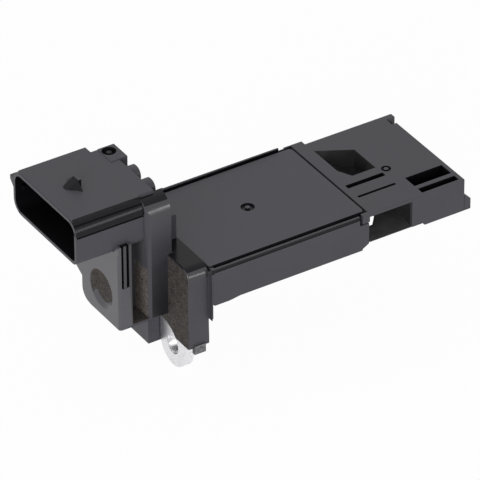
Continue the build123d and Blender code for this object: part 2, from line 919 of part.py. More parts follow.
with BuildPart() as chip_resistors:
    with BuildSketch(Plane.XY.offset(board_top)):
        with Locations((board_end - resistor_offset, resistor_y)):
            with GridLocations(*resistor_pitch, 2, resistor_rows):
                Rectangle(resistor_size[0], resistor_size[1])
    extrude(amount=resistor_size[2])
save(chip_resistors.part, "chip_resistors")

# Bonding wires from the terminal fingers to the board
with BuildPart() as bonding_wires:
    for number in range(terminal_count):
        wire_y = finger_y + (number - (terminal_count - 1) / 2) * finger_pitch
        finger_top = finger_z + terminal_thickness / 2
        wire_top = finger_top + wire_rise
        with BuildLine(Plane.XZ.offset(-wire_y)) as wire_path:
            Polyline(
                (finger_end - wire_inset, finger_top),
                (finger_end - wire_inset, wire_top),
                (board_start + wire_inset, wire_top),
                (board_start + wire_inset, board_top),
            )
        with BuildSketch(Plane((finger_end - wire_inset, wire_y, finger_top))):
            Circle(wire_radius)
        sweep(path=wire_path.line, transition=Transition.RIGHT)
save(bonding_wires.part, "bonding_wires")

# Sensing element: carrier tongue, chip, leads and potting
with BuildPart() as sensor_carrier:
    with BuildSketch(Plane.XY.offset(tongue_bottom)) as tongue_plan:
        with Locations((tongue_start + tongue_length / 2, tongue_y)):
            Rectangle(tongue_length, tongue_width)
        fillet(tongue_plan.vertices().group_by(Axis.X)[-1], tongue_corner)
    extrude(amount=tongue_thickness)
save(sensor_carrier.part, "sensor_carrier")

with BuildPart() as sensing_chip:
    with BuildSketch(Plane.XY.offset(tongue_top)):
        with Locations((sensor_chip_x, tongue_y)):
            Rectangle(sensor_chip_size[0], sensor_chip_size[1])
    extrude(amount=sensor_chip_size[2])
save(sensing_chip.part, "sensing_chip")

with BuildPart() as sensor_leads:
    lead_x = board_end - sensor_lead_landing
    lead_z = tongue_top + sensor_lead_thickness / 2
    for number in range(sensor_lead_count):
        lead_y = tongue_y + (number - (sensor_lead_count - 1) / 2) * sensor_lead_pitch
        with BuildSketch(Plane.XZ.offset(-lead_y - sensor_lead_width / 2)):
            with BuildLine():
                Polyline((cavity_end - sensor_lead_end, lead_z), (lead_x, lead_z), (lead_x, board_top))
            trace(line_width=sensor_lead_thickness)
        extrude(amount=sensor_lead_width)
save(sensor_leads.part, "sensor_leads")

with BuildPart() as sensor_potting:
    block((cavity_end, case_end), (tongue_front, tongue_back), (tongue_top, cover_seat - bead_depth))
save(sensor_potting.part, "sensor_potting")

# Air temperature sensing: a glass bead on two leads
with BuildPart() as thermistor_leads:
    for side in (-1, 1):
        wire_y = thermistor_y + side * thermistor_pitch / 2
        with BuildLine(Plane.XZ.offset(-wire_y)) as lead_path:
            Polyline(
                (thermistor_x - thermistor_radius, thermistor_z),
                (board_end - thermistor_landing, thermistor_z),
                (board_end - thermistor_landing, board_top),
            )
        with BuildSketch(Plane.YZ.offset(thermistor_x - thermistor_radius)):
            with Locations((wire_y, thermistor_z)):
                Circle(thermistor_lead_radius)
        sweep(path=lead_path.line, transition=Transition.RIGHT)
save(thermistor_leads.part, "thermistor_leads")

with BuildPart() as thermistor_bead:
    with BuildSketch(Plane.XZ.offset(-thermistor_y)):
        with BuildLine():
            bead_start = thermistor_x - thermistor_radius
            Polyline(
                (bead_start, thermistor_z),
                (bead_start, thermistor_z + thermistor_radius),
                (thermistor_x + thermistor_radius, thermistor_z + thermistor_radius),
            )
            ThreePointArc(
                (thermistor_x + thermistor_radius, thermistor_z + thermistor_radius),
                (
                    thermistor_x + thermistor_radius * (1 + 2 ** -0.5),
                    thermistor_z + thermistor_radius * 2 ** -0.5,
                ),
                (thermistor_x + 2 * thermistor_radius, thermistor_z),
            )
            Line((thermistor_x + 2 * thermistor_radius, thermistor_z), (bead_start, thermistor_z))
        make_face()
    revolve(axis=Axis((0, thermistor_y, thermistor_z), (1, 0, 0)))
save(thermistor_bead.part, "thermistor_bead")
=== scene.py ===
# %% [markdown]
# # A plug-in mass airflow sensor
# This lesson dresses a finished CAD model of a sensor: a flat black case with a cover glued into it,
# an upright flange with steel screw ears, a connector shell and a tip that lets the air through.
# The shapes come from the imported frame, in metres. Blender adds the finishes, the light, the camera
# and the softened edges that the CAD solids leave out.

# %% Load the frame
import json
from math import cos, hypot, radians, sin

import bmesh
import bpy
from mathutils import Matrix, Vector
from mathutils.bvhtree import BVHTree


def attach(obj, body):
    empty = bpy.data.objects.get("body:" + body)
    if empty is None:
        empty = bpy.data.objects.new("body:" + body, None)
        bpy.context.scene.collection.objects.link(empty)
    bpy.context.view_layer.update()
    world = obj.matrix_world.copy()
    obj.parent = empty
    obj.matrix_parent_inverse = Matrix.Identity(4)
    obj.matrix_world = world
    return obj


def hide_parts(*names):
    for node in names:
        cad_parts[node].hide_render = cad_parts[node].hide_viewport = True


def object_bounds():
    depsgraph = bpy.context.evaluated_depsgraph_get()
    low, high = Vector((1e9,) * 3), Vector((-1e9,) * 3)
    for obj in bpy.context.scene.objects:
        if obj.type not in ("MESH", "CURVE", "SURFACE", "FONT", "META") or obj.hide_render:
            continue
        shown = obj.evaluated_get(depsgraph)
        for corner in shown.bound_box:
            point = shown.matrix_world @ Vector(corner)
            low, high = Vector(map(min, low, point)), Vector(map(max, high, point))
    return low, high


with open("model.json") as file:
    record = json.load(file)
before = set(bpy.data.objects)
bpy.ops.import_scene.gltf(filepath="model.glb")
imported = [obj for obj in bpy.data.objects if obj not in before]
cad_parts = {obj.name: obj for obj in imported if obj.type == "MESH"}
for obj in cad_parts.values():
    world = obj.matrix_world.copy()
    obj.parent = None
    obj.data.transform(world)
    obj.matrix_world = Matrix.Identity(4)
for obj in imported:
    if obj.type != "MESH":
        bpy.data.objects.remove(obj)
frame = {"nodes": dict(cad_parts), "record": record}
MM = 0.001
cad_low, cad_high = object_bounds()
print("CAD box in mm", [round(value / MM, 1) for value in (*cad_low, *cad_high)])

# %% [markdown]
# ## The camera
# The photograph was taken from well above the front left of the case with a long lens, so that the
# edges stay nearly parallel. The camera is described the way a photographer would: how far it is
# turned round the object, how high it looks down from, how far off it stands and what it is aimed at.
# The aim is then swung a little, so that the object sits in the picture where the photograph has it.
# Swinging the camera is kinder than a lens shift, because other views keep the shift.

# %% Place the camera
AZIMUTH, ELEVATION = radians(-32.66), radians(33.82)
DISTANCE = 1.2414
FAR_CLIP = 10.0
SENSOR_MILLIMETRES = 36.0
FOCAL_PIXELS = 5717.3
IMAGE_PIXELS = 480
AIM_POINT = Vector((31.03, 0.0, 4.65)) * MM
AIM_PIXEL = (293.3, 190.55)

back = Vector((sin(AZIMUTH) * cos(ELEVATION), -cos(AZIMUTH) * cos(ELEVATION), sin(ELEVATION)))
right = Vector((cos(AZIMUTH), sin(AZIMUTH), 0.0))
up = back.cross(right)
swing_right = IMAGE_PIXELS / 2 - AIM_PIXEL[0]
swing_up = AIM_PIXEL[1] - IMAGE_PIXELS / 2
forward = (-back * FOCAL_PIXELS + right * swing_right + up * swing_up).normalized()
right = (right - forward * right.dot(forward)).normalized()
up = right.cross(forward)

camera_data = bpy.data.cameras.new("camera")
camera_data.sensor_width = SENSOR_MILLIMETRES
camera_data.lens = SENSOR_MILLIMETRES * FOCAL_PIXELS / IMAGE_PIXELS
camera_data.clip_end = FAR_CLIP
camera = bpy.data.objects.new("camera", camera_data)
axes = Matrix((right, up, -forward)).transposed()
camera.matrix_world = Matrix.Translation(AIM_POINT + back * DISTANCE) @ axes.to_4x4()
bpy.context.collection.objects.link(camera)
bpy.context.scene.camera = camera
print("lens in mm", round(camera_data.lens, 1))

# %% [markdown]
# ## The light
# Product photographs of black plastic are lit with big soft boxes, so that flat faces take one even
# tone and only the rounded edges carry a brighter line. The world gives most of that light. It is
# white to the camera, to reflections and to glass, and dimmer for the soft light that falls on the
# object. Four square area lamps shape the faces that turn towards them.

# %% Light the world
SOFT_LIGHT = 0.5
BACKGROUND_LIGHT = 1.0
WHITE = (1.0, 1.0, 1.0, 1.0)


def make_node(tree, kind, **settings):
    """Adds a node and sets its properties by name."""
    node = tree.nodes.new(kind)
    for name, value in settings.items():
        setattr(node, name, value)
    return node


world = bpy.data.worlds.new("studio")
bpy.context.scene.world = world
world.use_nodes = True
sky = world.node_tree
sky.nodes.clear()
output = make_node(sky, "ShaderNodeOutputWorld")
seen = make_node(sky, "ShaderNodeBackground")
soft = make_node(sky, "ShaderNodeBackground")
for background, strength in ((seen, BACKGROUND_LIGHT), (soft, SOFT_LIGHT)):
    background.inputs["Color"].default_value = WHITE
    background.inputs["Strength"].default_value = strength
rays = make_node(sky, "ShaderNodeLightPath")
camera_or_glossy = make_node(sky, "ShaderNodeMath", operation="MAXIMUM")
any_seen = make_node(sky, "ShaderNodeMath", operation="MAXIMUM")
chooser = make_node(sky, "ShaderNodeMixShader")
sky.links.new(rays.outputs["Is Camera Ray"], camera_or_glossy.inputs[0])
sky.links.new(rays.outputs["Is Glossy Ray"], camera_or_glossy.inputs[1])
sky.links.new(camera_or_glossy.outputs[0], any_seen.inputs[0])
sky.links.new(rays.outputs["Is Transmission Ray"], any_seen.inputs[1])
sky.links.new(any_seen.outputs[0], chooser.inputs[0])
sky.links.new(soft.outputs[0], chooser.inputs[1])
sky.links.new(seen.outputs[0], chooser.inputs[2])
sky.links.new(chooser.outputs[0], output.inputs[0])
print("world light", SOFT_LIGHT)

# %% Hang the soft boxes
# Each lamp: its place from the middle of the object in metres, its width in metres and its power.
SOFT_BOXES = {
    "overhead_box": ((0.1, 0.35, 0.9), 0.6, 0.5),
    "front_box": ((0.35, -0.9, 0.25), 0.25, 1.2),
    "left_box": ((-0.75, -0.55, 0.2), 0.35, 2.4),
    "camera_box": ((-0.5, -0.75, 0.45), 0.3, 1.9),
}

middle = (cad_low + cad_high) / 2
for name, (offset, width, power) in SOFT_BOXES.items():
    lamp_data = bpy.data.lights.new(name, "AREA")
    lamp_data.size = width
    lamp_data.energy = power
    lamp = bpy.data.objects.new(name, lamp_data)
    lamp.location = middle + Vector(offset)
    lamp.rotation_mode = "QUATERNION"
    lamp.rotation_quaternion = (-Vector(offset)).to_track_quat("-Z", "Y")
    bpy.context.collection.objects.link(lamp)
print("soft boxes", len(bpy.data.lights))

# %% [markdown]
# ## The floor
# The photograph's background is plain white paper. A single wide sheet lies just under the lowest
# point of the sensor. What the camera and the reflections see of it is almost all its own even glow,
# and the rest is a plain white surface, which takes the soft shadow.

# %% Lay the floor
FLOOR_WIDTH = 4.0
FLOOR_SHADE = 0.9
FLOOR_GLOW = 0.965
FLOOR_GAP = 0.2 * MM


def floor_material():
    """White paper that the camera sees as the background, darkened only by the shadow."""
    material = bpy.data.materials.new("white_paper")
    material.use_nodes = True
    tree = material.node_tree
    tree.nodes.clear()
    surface = make_node(tree, "ShaderNodeBsdfDiffuse")
    surface.inputs["Color"].default_value = (FLOOR_SHADE, FLOOR_SHADE, FLOOR_SHADE, 1.0)
    glow = make_node(tree, "ShaderNodeEmission")
    rays = make_node(tree, "ShaderNodeLightPath")
    seen = make_node(tree, "ShaderNodeMath", operation="MAXIMUM")
    glow_share = make_node(tree, "ShaderNodeMath", operation="MULTIPLY")
    glow_share.inputs[1].default_value = FLOOR_GLOW
    mixer = make_node(tree, "ShaderNodeMixShader")
    end = make_node(tree, "ShaderNodeOutputMaterial")
    tree.links.new(rays.outputs["Is Camera Ray"], seen.inputs[0])
    tree.links.new(rays.outputs["Is Glossy Ray"], seen.inputs[1])
    tree.links.new(seen.outputs[0], glow_share.inputs[0])
    tree.links.new(glow_share.outputs[0], mixer.inputs[0])
    tree.links.new(surface.outputs[0], mixer.inputs[1])
    tree.links.new(glow.outputs[0], mixer.inputs[2])
    tree.links.new(mixer.outputs[0], end.inputs[0])
    return material


def add_object(name, shape):
    """Turns a bmesh into an object at the origin."""
    mesh = bpy.data.meshes.new(name)
    shape.to_mesh(mesh)
    shape.free()
    made = bpy.data.objects.new(name, mesh)
    bpy.context.collection.objects.link(made)
    return made


sheet = bmesh.new()
bmesh.ops.create_grid(sheet, x_segments=1, y_segments=1, size=FLOOR_WIDTH / 2)
bmesh.ops.translate(sheet, verts=sheet.verts, vec=(0.0, 0.0, cad_low.z - FLOOR_GAP))
floor = add_object("floor", sheet)
floor.data.materials.append(floor_material())
print("floor at", round((cad_low.z - FLOOR_GAP) / MM, 2), "mm")

# %% [markdown]
# ## Helpers for materials
# A material is a small network of nodes. These helpers each add one node and return its output, so
# that a finish below reads like a recipe: take the place, read a noise there, stretch it and mix two
# colours by it. All patterns are read from the part's own space, in metres.


# %% Helpers that add one node
def feed(tree, value, socket):
    """Gives a socket its value, which is either another node's output or a plain value."""
    if isinstance(value, bpy.types.NodeSocket):
        tree.links.new(value, socket)
    else:
        socket.default_value = value


def noise(tree, place, scale, detail=3.0, roughness=0.55):
    """A noise texture read at a place."""
    texture = make_node(tree, "ShaderNodeTexNoise")
    texture.inputs["Detail"].default_value = detail
    texture.inputs["Roughness"].default_value = roughness
    feed(tree, place, texture.inputs["Vector"])
    feed(tree, scale, texture.inputs["Scale"])
    return texture.outputs["Fac"]


def spread(tree, value, low, high, to_low=0.0, to_high=1.0):
    """Stretches a value from one range onto another, and clamps it."""
    ramp = make_node(tree, "ShaderNodeMapRange")
    feed(tree, value, ramp.inputs["Value"])
    feed(tree, low, ramp.inputs["From Min"])
    feed(tree, high, ramp.inputs["From Max"])
    feed(tree, to_low, ramp.inputs["To Min"])
    feed(tree, to_high, ramp.inputs["To Max"])
    return ramp.outputs["Result"]


def blend(tree, factor, first, second):
    """Mixes two colours by a factor between 0 and 1."""
    mixer = make_node(tree, "ShaderNodeMix", data_type="RGBA")
    feed(tree, factor, mixer.inputs[0])
    feed(tree, first, mixer.inputs[6])
    feed(tree, second, mixer.inputs[7])
    return mixer.outputs[2]


def compute(tree, operation, first, second):
    """One Math node on two values."""
    node = make_node(tree, "ShaderNodeMath", operation=operation)
    feed(tree, first, node.inputs[0])
    feed(tree, second, node.inputs[1])
    return node.outputs[0]


def object_place(tree):
    """The point's place in the part's own space."""
    return make_node(tree, "ShaderNodeTexCoord").outputs["Object"]


# %% [markdown]
# ## Shared effects
# Several finishes need the same two effects, so each is a node group with named inputs. The first
# is the faint cloudiness and fine grain of a moulded skin. The second is the pitted texture that
# spark erosion leaves on some faces of the mould, which looks brown and speckled beside the smooth
# skin.


# %% Moulded skin
def new_group(name, inputs, outputs):
    """Starts a shader node group with its sockets, and returns it with its two end nodes."""
    group = bpy.data.node_groups.new(name, "ShaderNodeTree")
    for socket_name, socket_type, value in inputs:
        socket = group.interface.new_socket(socket_name, in_out="INPUT", socket_type=socket_type)
        socket.default_value = value
    for socket_name, socket_type in outputs:
        group.interface.new_socket(socket_name, in_out="OUTPUT", socket_type=socket_type)
    return group, make_node(group, "NodeGroupInput"), make_node(group, "NodeGroupOutput")


CLOUD_RANGE = (0.3, 0.7)

skin_group, ends_in, ends_out = new_group(
    "moulded_skin",
    [
        ("Colour", "NodeSocketColor", (0.04, 0.04, 0.045, 1.0)),
        ("Cloud Colour", "NodeSocketColor", (0.05, 0.05, 0.056, 1.0)),
        ("Cloud Scale", "NodeSocketFloat", 90.0),
        ("Grain Scale", "NodeSocketFloat", 4000.0),
        ("Smooth", "NodeSocketFloat", 0.4),
        ("Rough", "NodeSocketFloat", 0.5),
    ],
    [("Colour", "NodeSocketColor"), ("Roughness", "NodeSocketFloat"), ("Height", "NodeSocketFloat")],
)
given = ends_in.outputs
place = object_place(skin_group)
clouds = noise(skin_group, place, given["Cloud Scale"])
grain = noise(skin_group, place, given["Grain Scale"], detail=4.0)
cloud_mask = spread(skin_group, clouds, *CLOUD_RANGE)
skin_colour = blend(skin_group, cloud_mask, given["Colour"], given["Cloud Colour"])
skin_rough = spread(skin_group, clouds, *CLOUD_RANGE, given["Smooth"], given["Rough"])
feed(skin_group, skin_colour, ends_out.inputs["Colour"])
feed(skin_group, skin_rough, ends_out.inputs["Roughness"])
feed(skin_group, grain, ends_out.inputs["Height"])
print("group", skin_group.name)

# %% Spark-eroded texture
PATCH_SHARE = 0.25
PATCH_SCALE = 0.2
PEAK_RANGE = (0.38, 0.66)

pitted_group, ends_in, ends_out = new_group(
    "spark_eroded",
    [
        ("Pit Colour", "NodeSocketColor", (0.03, 0.027, 0.025, 1.0)),
        ("Peak Colour", "NodeSocketColor", (0.13, 0.11, 0.1, 1.0)),
        ("Pit Scale", "NodeSocketFloat", 2600.0),
    ],
    [("Colour", "NodeSocketColor"), ("Height", "NodeSocketFloat")],
)
given = ends_in.outputs
place = object_place(pitted_group)
pits = noise(pitted_group, place, given["Pit Scale"], detail=2.0, roughness=0.7)
patch_scale = compute(pitted_group, "MULTIPLY", given["Pit Scale"], PATCH_SCALE)
patches = noise(pitted_group, place, patch_scale)
pit_part = compute(pitted_group, "MULTIPLY", pits, 1.0 - PATCH_SHARE)
patch_part = compute(pitted_group, "MULTIPLY", patches, PATCH_SHARE)
speckle = compute(pitted_group, "ADD", pit_part, patch_part)
peak_mask = spread(pitted_group, speckle, *PEAK_RANGE)
pitted_colour = blend(pitted_group, peak_mask, given["Pit Colour"], given["Peak Colour"])
feed(pitted_group, pitted_colour, ends_out.inputs["Colour"])
feed(pitted_group, pits, ends_out.inputs["Height"])
print("group", pitted_group.name)

# %% [markdown]
# ## The black plastic
# The housing is glass-filled plastic straight from the mould, dark grey with a cool cast. How it looks
# depends on the face of the mould that made it. The open faces are satin. The faces that polished steel
# made are smooth and only shine where they curve. Their near-black colour is painted shade, which stands
# in for the dark reflections they show, and the same skin paints shade into grooves and recesses. The
# faces that an eroded electrode made are dull, brown and speckled. Some faces take brighter copies of a
# skin as painted light, or a near-black skin as painted shade. So one function makes each kind of skin,
# and the finished pieces take them face by face. The strength of the reflection is a plain number on
# each shader.


# %% Plastic material
def start_material(name, roughness=0.5, metallic=0.0, specular=0.5):
    """A new material with its Principled shader, and a Bump node that feeds the shader's normal."""
    material = bpy.data.materials.new(name)
    material.use_nodes = True
    tree = material.node_tree
    shader = tree.nodes["Principled BSDF"]
    shader.inputs["Roughness"].default_value = roughness
    shader.inputs["Metallic"].default_value = metallic
    shader.inputs["Specular IOR Level"].default_value = specular
    bump = make_node(tree, "ShaderNodeBump")
    tree.links.new(bump.outputs["Normal"], shader.inputs["Normal"])
    return material, tree, shader, bump


def raise_relief(tree, bump, height, strength, depth):
    """Feeds a height to a Bump node, with its strength and its depth in millimetres."""
    feed(tree, height, bump.inputs["Height"])
    bump.inputs["Strength"].default_value = strength
    bump.inputs["Distance"].default_value = depth * MM


def plastic(name, colour, cloud_colour, smooth, rough, grain_scale, relief, specular, painted_shade_fade=None):
    """Moulded plastic with a smooth skin.

    A painted shade fade is a low height and a high one in millimetres, and the colour that the skin has at
    the low: painted shade, darker towards the bottom.
    """
    material, tree, shader, bump = start_material(name, specular=specular)
    skin = make_node(tree, "ShaderNodeGroup", node_tree=skin_group)
    skin.inputs["Colour"].default_value = (*colour, 1.0)
    skin.inputs["Cloud Colour"].default_value = (*cloud_colour, 1.0)
    skin.inputs["Grain Scale"].default_value = grain_scale
    skin.inputs["Smooth"].default_value = smooth
    skin.inputs["Rough"].default_value = rough
    tone = skin.outputs["Colour"]
    if painted_shade_fade:
        low, high, painted_shade_colour = painted_shade_fade
        height = make_node(tree, "ShaderNodeSeparateXYZ")
        tree.links.new(object_place(tree), height.inputs[0])
        share = spread(tree, height.outputs["Z"], low * MM, high * MM)
        tone = blend(tree, share, (*painted_shade_colour, 1.0), tone)
    feed(tree, tone, shader.inputs["Base Color"])
    feed(tree, skin.outputs["Roughness"], shader.inputs["Roughness"])
    raise_relief(tree, bump, skin.outputs["Height"], relief, depth=0.02)
    return material


def eroded(name, pit_colour, peak_colour, pit_scale, relief):
    """The dull, pitted skin that a spark-eroded face of the mould leaves."""
    material, tree, shader, bump = start_material(name, roughness=0.75, specular=0.2)
    pitted = make_node(tree, "ShaderNodeGroup", node_tree=pitted_group)
    pitted.inputs["Pit Colour"].default_value = (*pit_colour, 1.0)
    pitted.inputs["Peak Colour"].default_value = (*peak_colour, 1.0)
    pitted.inputs["Pit Scale"].default_value = pit_scale
    feed(tree, pitted.outputs["Colour"], shader.inputs["Base Color"])
    raise_relief(tree, bump, pitted.outputs["Height"], relief, depth=0.08)
    return material


# %% Kinds of black skin
# A plastic: its colour, its clouds' colour, the two ends of its roughness, the scale of its grain,
# its relief and the level of its reflection. An eroded skin: the colours of its pits and its peaks,
# the scale of its pits and its relief.
SKIN_RECIPES = {
    "satin_black": (plastic, (0.049, 0.048, 0.057), (0.056, 0.055, 0.066), 0.42, 0.5, 5000.0, 0.3, 0.3),
    "eroded_brown": (eroded, (0.022, 0.019, 0.018), (0.098, 0.086, 0.080), 3200.0, 0.6),
    # The polished skin is smooth; its near-black colour is painted shade and painted dark reflection.
    "polished_black": (plastic, (0.007, 0.007, 0.009), (0.011, 0.011, 0.013), 0.14, 0.24, 6000.0, 0.1,
                       0.15),
    # The next skin is painted shade: a near-black colour for recesses, joints and the socket, where shade
    # falls.
    "deep_black": (plastic, (0.0025, 0.0025, 0.003), (0.004, 0.004, 0.005), 0.5, 0.6, 5000.0, 0.2, 0.06),
    "passage_black": (plastic, (0.02, 0.019, 0.02), (0.035, 0.032, 0.033), 0.1, 0.2, 3000.0, 0.15, 0.5),
    "cut_grey": (eroded, (0.09, 0.09, 0.095), (0.22, 0.22, 0.23), 1500.0, 0.8),
    # The next two skins are brighter copies of the eroded and satin skins for the panel beside the post:
    # painted light.
    "eroded_pale": (eroded, (0.060, 0.053, 0.048), (0.260, 0.228, 0.208), 3200.0, 0.6),
    "satin_pale": (plastic, (0.095, 0.093, 0.104), (0.110, 0.108, 0.121), 0.4, 0.5, 5000.0, 0.3, 0.3),
    "gloss_black": (plastic, (0.030, 0.029, 0.034), (0.036, 0.035, 0.041), 0.2, 0.3, 6000.0, 0.15, 0.55),
    # The boss's satin is a brighter copy of the satin: painted light.
    "satin_bright": (plastic, (0.066, 0.065, 0.074), (0.080, 0.078, 0.089), 0.3, 0.4, 5000.0, 0.25, 0.5),
    # The post's skin is painted darker towards the bottom: painted shade.
    "post_black": (plastic, (0.049, 0.048, 0.057), (0.056, 0.055, 0.066), 0.34, 0.42, 5000.0, 0.25, 0.35,
                   (-7.0, 13.0, (0.016, 0.016, 0.019))),
    "passage_floor": (plastic, (0.030, 0.029, 0.031), (0.10, 0.098, 0.10), 0.12, 0.2, 700.0, 0.2, 0.8),
}

skins = {name: recipe(name, *values) for name, (recipe, *values) in SKIN_RECIPES.items()}
lid_black = plastic(
    "lid_black", (0.048, 0.047, 0.057), (0.056, 0.055, 0.067), 0.38, 0.46, 4200.0, 0.25, specular=0.3
)
print("skins", list(skins))

# %% [markdown]
# ## Metals
# The screw ears are punched from steel strip and plated bright, so they are almost white in the soft
# light, with a fine speckle. The blades and leads are tinned: a little darker and softer. The base
# plate under the circuit is plain rolled aluminium, with the rolling marks all running one way.


# %% Metal material
def metal(name, colour, dark_colour, smooth, rough, speckle_scale, stretch=(1.0, 1.0, 1.0)):
    """A metal whose tone and polish vary with a speckle, which can be stretched into rolling marks."""
    material, tree, shader, bump = start_material(name, metallic=1.0)
    mapping = make_node(tree, "ShaderNodeMapping")
    mapping.inputs["Scale"].default_value = stretch
    tree.links.new(object_place(tree), mapping.inputs["Vector"])
    speckle = noise(tree, mapping.outputs["Vector"], speckle_scale, detail=5.0)
    tone = blend(tree, spread(tree, speckle, 0.35, 0.65), (*dark_colour, 1.0), (*colour, 1.0))
    feed(tree, tone, shader.inputs["Base Color"])
    feed(tree, spread(tree, speckle, 0.3, 0.7, rough, smooth), shader.inputs["Roughness"])
    raise_relief(tree, bump, speckle, strength=0.3, depth=0.01)
    return material


plated_steel = metal("plated_steel", (0.88, 0.88, 0.90), (0.70, 0.70, 0.72), 0.3, 0.45, 2200.0)
tinned_metal = metal("tinned_metal", (0.72, 0.70, 0.66), (0.55, 0.53, 0.50), 0.25, 0.4, 3000.0)
rolled_aluminium = metal(
    "rolled_aluminium", (0.80, 0.80, 0.81), (0.62, 0.62, 0.63), 0.3, 0.45, 1500.0, stretch=(0.05, 1.0, 1.0)
)
drawn_aluminium = metal("drawn_aluminium", (0.85, 0.85, 0.86), (0.7, 0.7, 0.71), 0.2, 0.35, 3000.0)
metals = (plated_steel, tinned_metal, rolled_aluminium, drawn_aluminium)
print("metals", [finish.name for finish in metals])

# %% [markdown]
# ## Circuit finishes
# Nothing of the circuit shows while the cover is on, but each piece still has its own finish: the
# fired ceramic of the board with its printed paths, the dull black of the chips, the tan of the
# capacitors, the rubbery sealant and the polished face of the sensing chip.


# %% Circuit materials
def fired(name, colour, fleck_colour, fleck_scale, roughness):
    """A fired or cast surface: one colour with small flecks of another."""
    material, tree, shader, bump = start_material(name, roughness=roughness)
    flecks = noise(tree, object_place(tree), fleck_scale, detail=4.0)
    tone = blend(tree, spread(tree, flecks, 0.45, 0.7), (*colour, 1.0), (*fleck_colour, 1.0))
    feed(tree, tone, shader.inputs["Base Color"])
    raise_relief(tree, bump, flecks, strength=0.25, depth=0.01)
    return material


def printed_board(name):
    """Pale ceramic with a maze of printed silver paths."""
    material, tree, shader, bump = start_material(name, roughness=0.55)
    place = object_place(tree)
    cells = make_node(tree, "ShaderNodeTexVoronoi", feature="DISTANCE_TO_EDGE", distance="CHEBYCHEV")
    feed(tree, 380.0, cells.inputs["Scale"])
    feed(tree, place, cells.inputs["Vector"])
    paths = spread(tree, cells.outputs["Distance"], 0.04, 0.06, 1.0, 0.0)
    ceramic = blend(tree, noise(tree, place, 900.0), (0.80, 0.79, 0.74, 1.0), (0.72, 0.71, 0.67, 1.0))
    tone = blend(tree, paths, ceramic, (0.45, 0.44, 0.42, 1.0))
    feed(tree, tone, shader.inputs["Base Color"])
    raise_relief(tree, bump, paths, strength=0.5, depth=0.02)
    return material


finishes = {
    "case_plastic": skins["satin_black"],
    "cover_plastic": lid_black,
    "ear_steel": plated_steel,
    "contact_metal": tinned_metal,
    "base_aluminium": rolled_aluminium,
    "wire_aluminium": drawn_aluminium,
    "sealant": fired("cured_sealant", (0.05, 0.05, 0.052), (0.08, 0.08, 0.083), 1200.0, 0.45),
    "board_ceramic": printed_board("printed_ceramic"),
    "chip_plastic": fired("chip_black", (0.035, 0.035, 0.035), (0.06, 0.06, 0.06), 5000.0, 0.6),
    "capacitor_ceramic": fired("capacitor_tan", (0.42, 0.30, 0.18), (0.55, 0.42, 0.28), 4000.0, 0.5),
    "carrier_plastic": fired("carrier_black", (0.045, 0.045, 0.047), (0.07, 0.07, 0.075), 3000.0, 0.5),
    "sensor_silicon": fired("polished_silicon", (0.20, 0.22, 0.30), (0.28, 0.30, 0.38), 2500.0, 0.12),
    "bead_glass": fired("dark_glass", (0.09, 0.11, 0.09), (0.13, 0.15, 0.12), 2000.0, 0.08),
}
print("finishes", len(finishes))

# %% [markdown]
# ## Dress the nodes
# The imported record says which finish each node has, so the nodes are dressed in one loop.

# %% Assign the finishes
slot_of = {entry["node"]: entry["material_slot"] for entry in frame["record"]["subparts"]}
for name, node in frame["nodes"].items():
    node.data.materials.clear()
    node.data.materials.append(finishes[slot_of[name]])
print("dressed", len(slot_of), "nodes")

# %% [markdown]
# ## Copy a piece before changing it
# The three big mouldings show fine joints and softened edges that the CAD solids leave out. A node's
# own mesh is left alone. Its copy takes its place in the picture, and the loose triangles of the copy
# are welded first, because a bevel needs to know which faces meet at an edge.

# %% Copy the housing
WELD_GAP = 0.002 * MM


def welded_copy(name, node_name):
    """Copies a node's mesh and welds its loose triangles."""
    welded = bmesh.new()
    welded.from_mesh(frame["nodes"][node_name].data)
    bmesh.ops.remove_doubles(welded, verts=welded.verts, dist=WELD_GAP)
    piece = add_object(name, welded)
    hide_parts(node_name)
    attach(piece, "root")
    return piece


housing_piece = welded_copy("moulded_housing", "housing")
print("housing faces", len(housing_piece.data.polygons))

# %% [markdown]
# ## Carve the fine joints
# The lid lies in a joint that looks black, because it is deep. A shallow groove runs below the case's
# rim, a narrow gap surrounds the cover's hook, and the shoulder behind the flange steps back towards
# the case. They are too fine for the solids, so plain blocks cut them out of the copy.

# %% Carve the housing
HOUSING_CUTS = {
    "front joint of the lid": ((0.3, -15.55, 2.6), (38.0, -14.4, 5.0)),
    "rear joint of the lid": ((0.3, 14.2, 2.6), (39.9, 15.05, 5.0)),
    "groove below the rim": ((0.8, -16.4, 3.45), (38.0, -16.06, 4.15)),
    "gap under the hook": ((37.8, -16.4, 2.0), (40.3, -14.6, 2.45)),
    "gap beside the hook": ((37.8, -16.4, 2.0), (38.28, -15.0, 5.0)),
    "case side of the post": ((-4.0, -6.8, 5.1), (-3.3, -2.15, 19.5)),
    "front of the shoulder": ((0.25, -16.6, -8.8), (0.9, -16.2, 4.2)),
    "lower step of the shoulder": ((0.25, -16.6, -8.8), (0.9, -14.6, -4.65)),
    "end of the shoulder": ((0.02, -16.6, -8.8), (0.9, -15.2, -8.1)),
}
CARVED_GAP = 0.01 * MM
CARVED_SLIVER = 0.005 * MM


def plain_block(low, high):
    """A block between two corners in millimetres."""
    block = bmesh.new()
    bmesh.ops.create_cube(block, size=1.0)
    low, high = Vector(low) * MM, Vector(high) * MM
    bmesh.ops.scale(block, verts=block.verts, vec=high - low)
    bmesh.ops.translate(block, verts=block.verts, vec=(low + high) / 2)
    return block


def bake(piece):
    """Applies a piece's modifiers to its mesh."""
    graph = bpy.context.evaluated_depsgraph_get()
    baked = bpy.data.meshes.new_from_object(piece.evaluated_get(graph))
    piece.modifiers.clear()
    piece.data = baked


